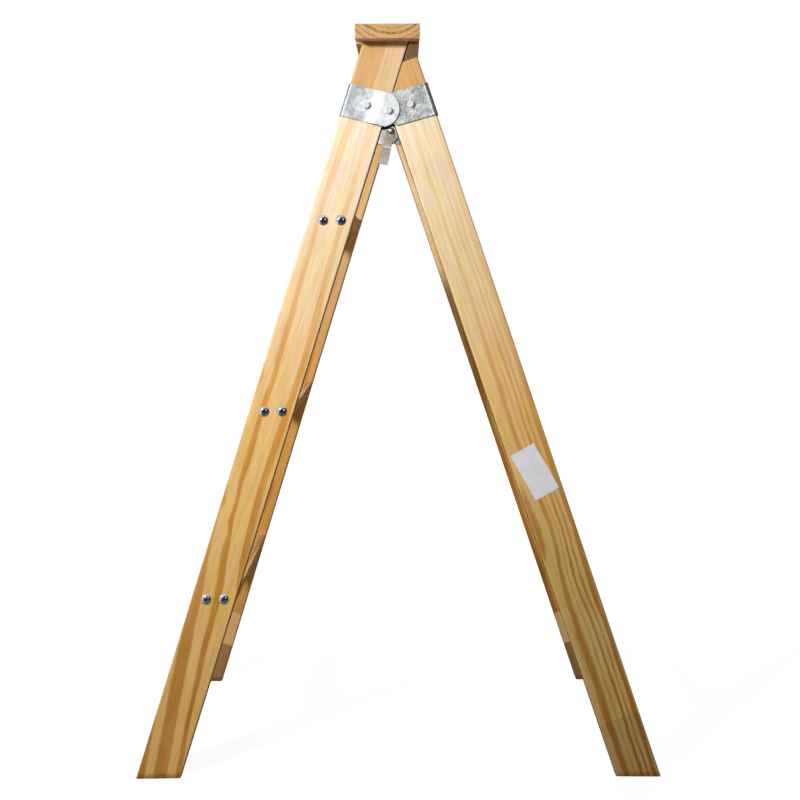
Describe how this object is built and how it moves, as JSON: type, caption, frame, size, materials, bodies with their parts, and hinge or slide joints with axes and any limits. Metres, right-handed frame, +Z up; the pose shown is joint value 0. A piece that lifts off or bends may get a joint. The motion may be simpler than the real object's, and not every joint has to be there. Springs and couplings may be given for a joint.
{
  "type": "folding stepladder",
  "caption": "Wooden folding stepladder: a front frame with treads and a top cap, and a rear frame hinged to it on folded sheet brackets.",
  "frame": {"origin": "on the floor, in the middle of the footprint of the open ladder", "axes": "+X from the front (climbing) side to the rear, +Y to the climber's left, +Z up"},
  "size_m": [0.846, 0.4638, 1.189],
  "materials": {
    "pine": "planed, clear sealed",
    "galvanised_sheet": "galvanised, spangled",
    "zinc_fasteners": "bright zinc plated"
  },
  "bodies": {
    "front_frame": {"front_stile_right": "pine", "front_stile_left": "pine", "top_cap": "pine", "lower_tread": "pine", "middle_tread": "pine", "upper_tread": "pine", "front_bracket_right": "galvanised_sheet", "front_bracket_left": "galvanised_sheet", "hinge_tab": "galvanised_sheet", "cap_screws": "zinc_fasteners", "lower_tread_bolts": "zinc_fasteners", "middle_tread_bolts": "zinc_fasteners", "upper_tread_bolts": "zinc_fasteners", "lower_tread_cylinder_nuts": "zinc_fasteners", "middle_tread_cylinder_nuts": "zinc_fasteners", "upper_tread_cylinder_nuts": "zinc_fasteners", "front_bracket_bolts": "zinc_fasteners", "front_bracket_nuts": "zinc_fasteners", "pivot_bolt_right": "zinc_fasteners", "pivot_bolt_left": "zinc_fasteners", "pivot_nut_right": "zinc_fasteners", "pivot_nut_left": "zinc_fasteners"},
    "rear_frame": {"rear_stile_right": "pine", "rear_stile_left": "pine", "lower_rear_rail": "pine", "upper_rear_rail": "pine", "rear_bracket_right": "galvanised_sheet", "rear_bracket_left": "galvanised_sheet", "rear_bracket_bolts": "zinc_fasteners", "rear_bracket_nuts": "zinc_fasteners"}
  },
  "joints": [
    {"name": "fold", "type": "hinge", "parent": "front_frame", "child": "rear_frame", "pos_m": [-0.00942, 0, 1.06], "axis": [0, 1, 0], "range_deg": [0, 36.4]}
  ]
}
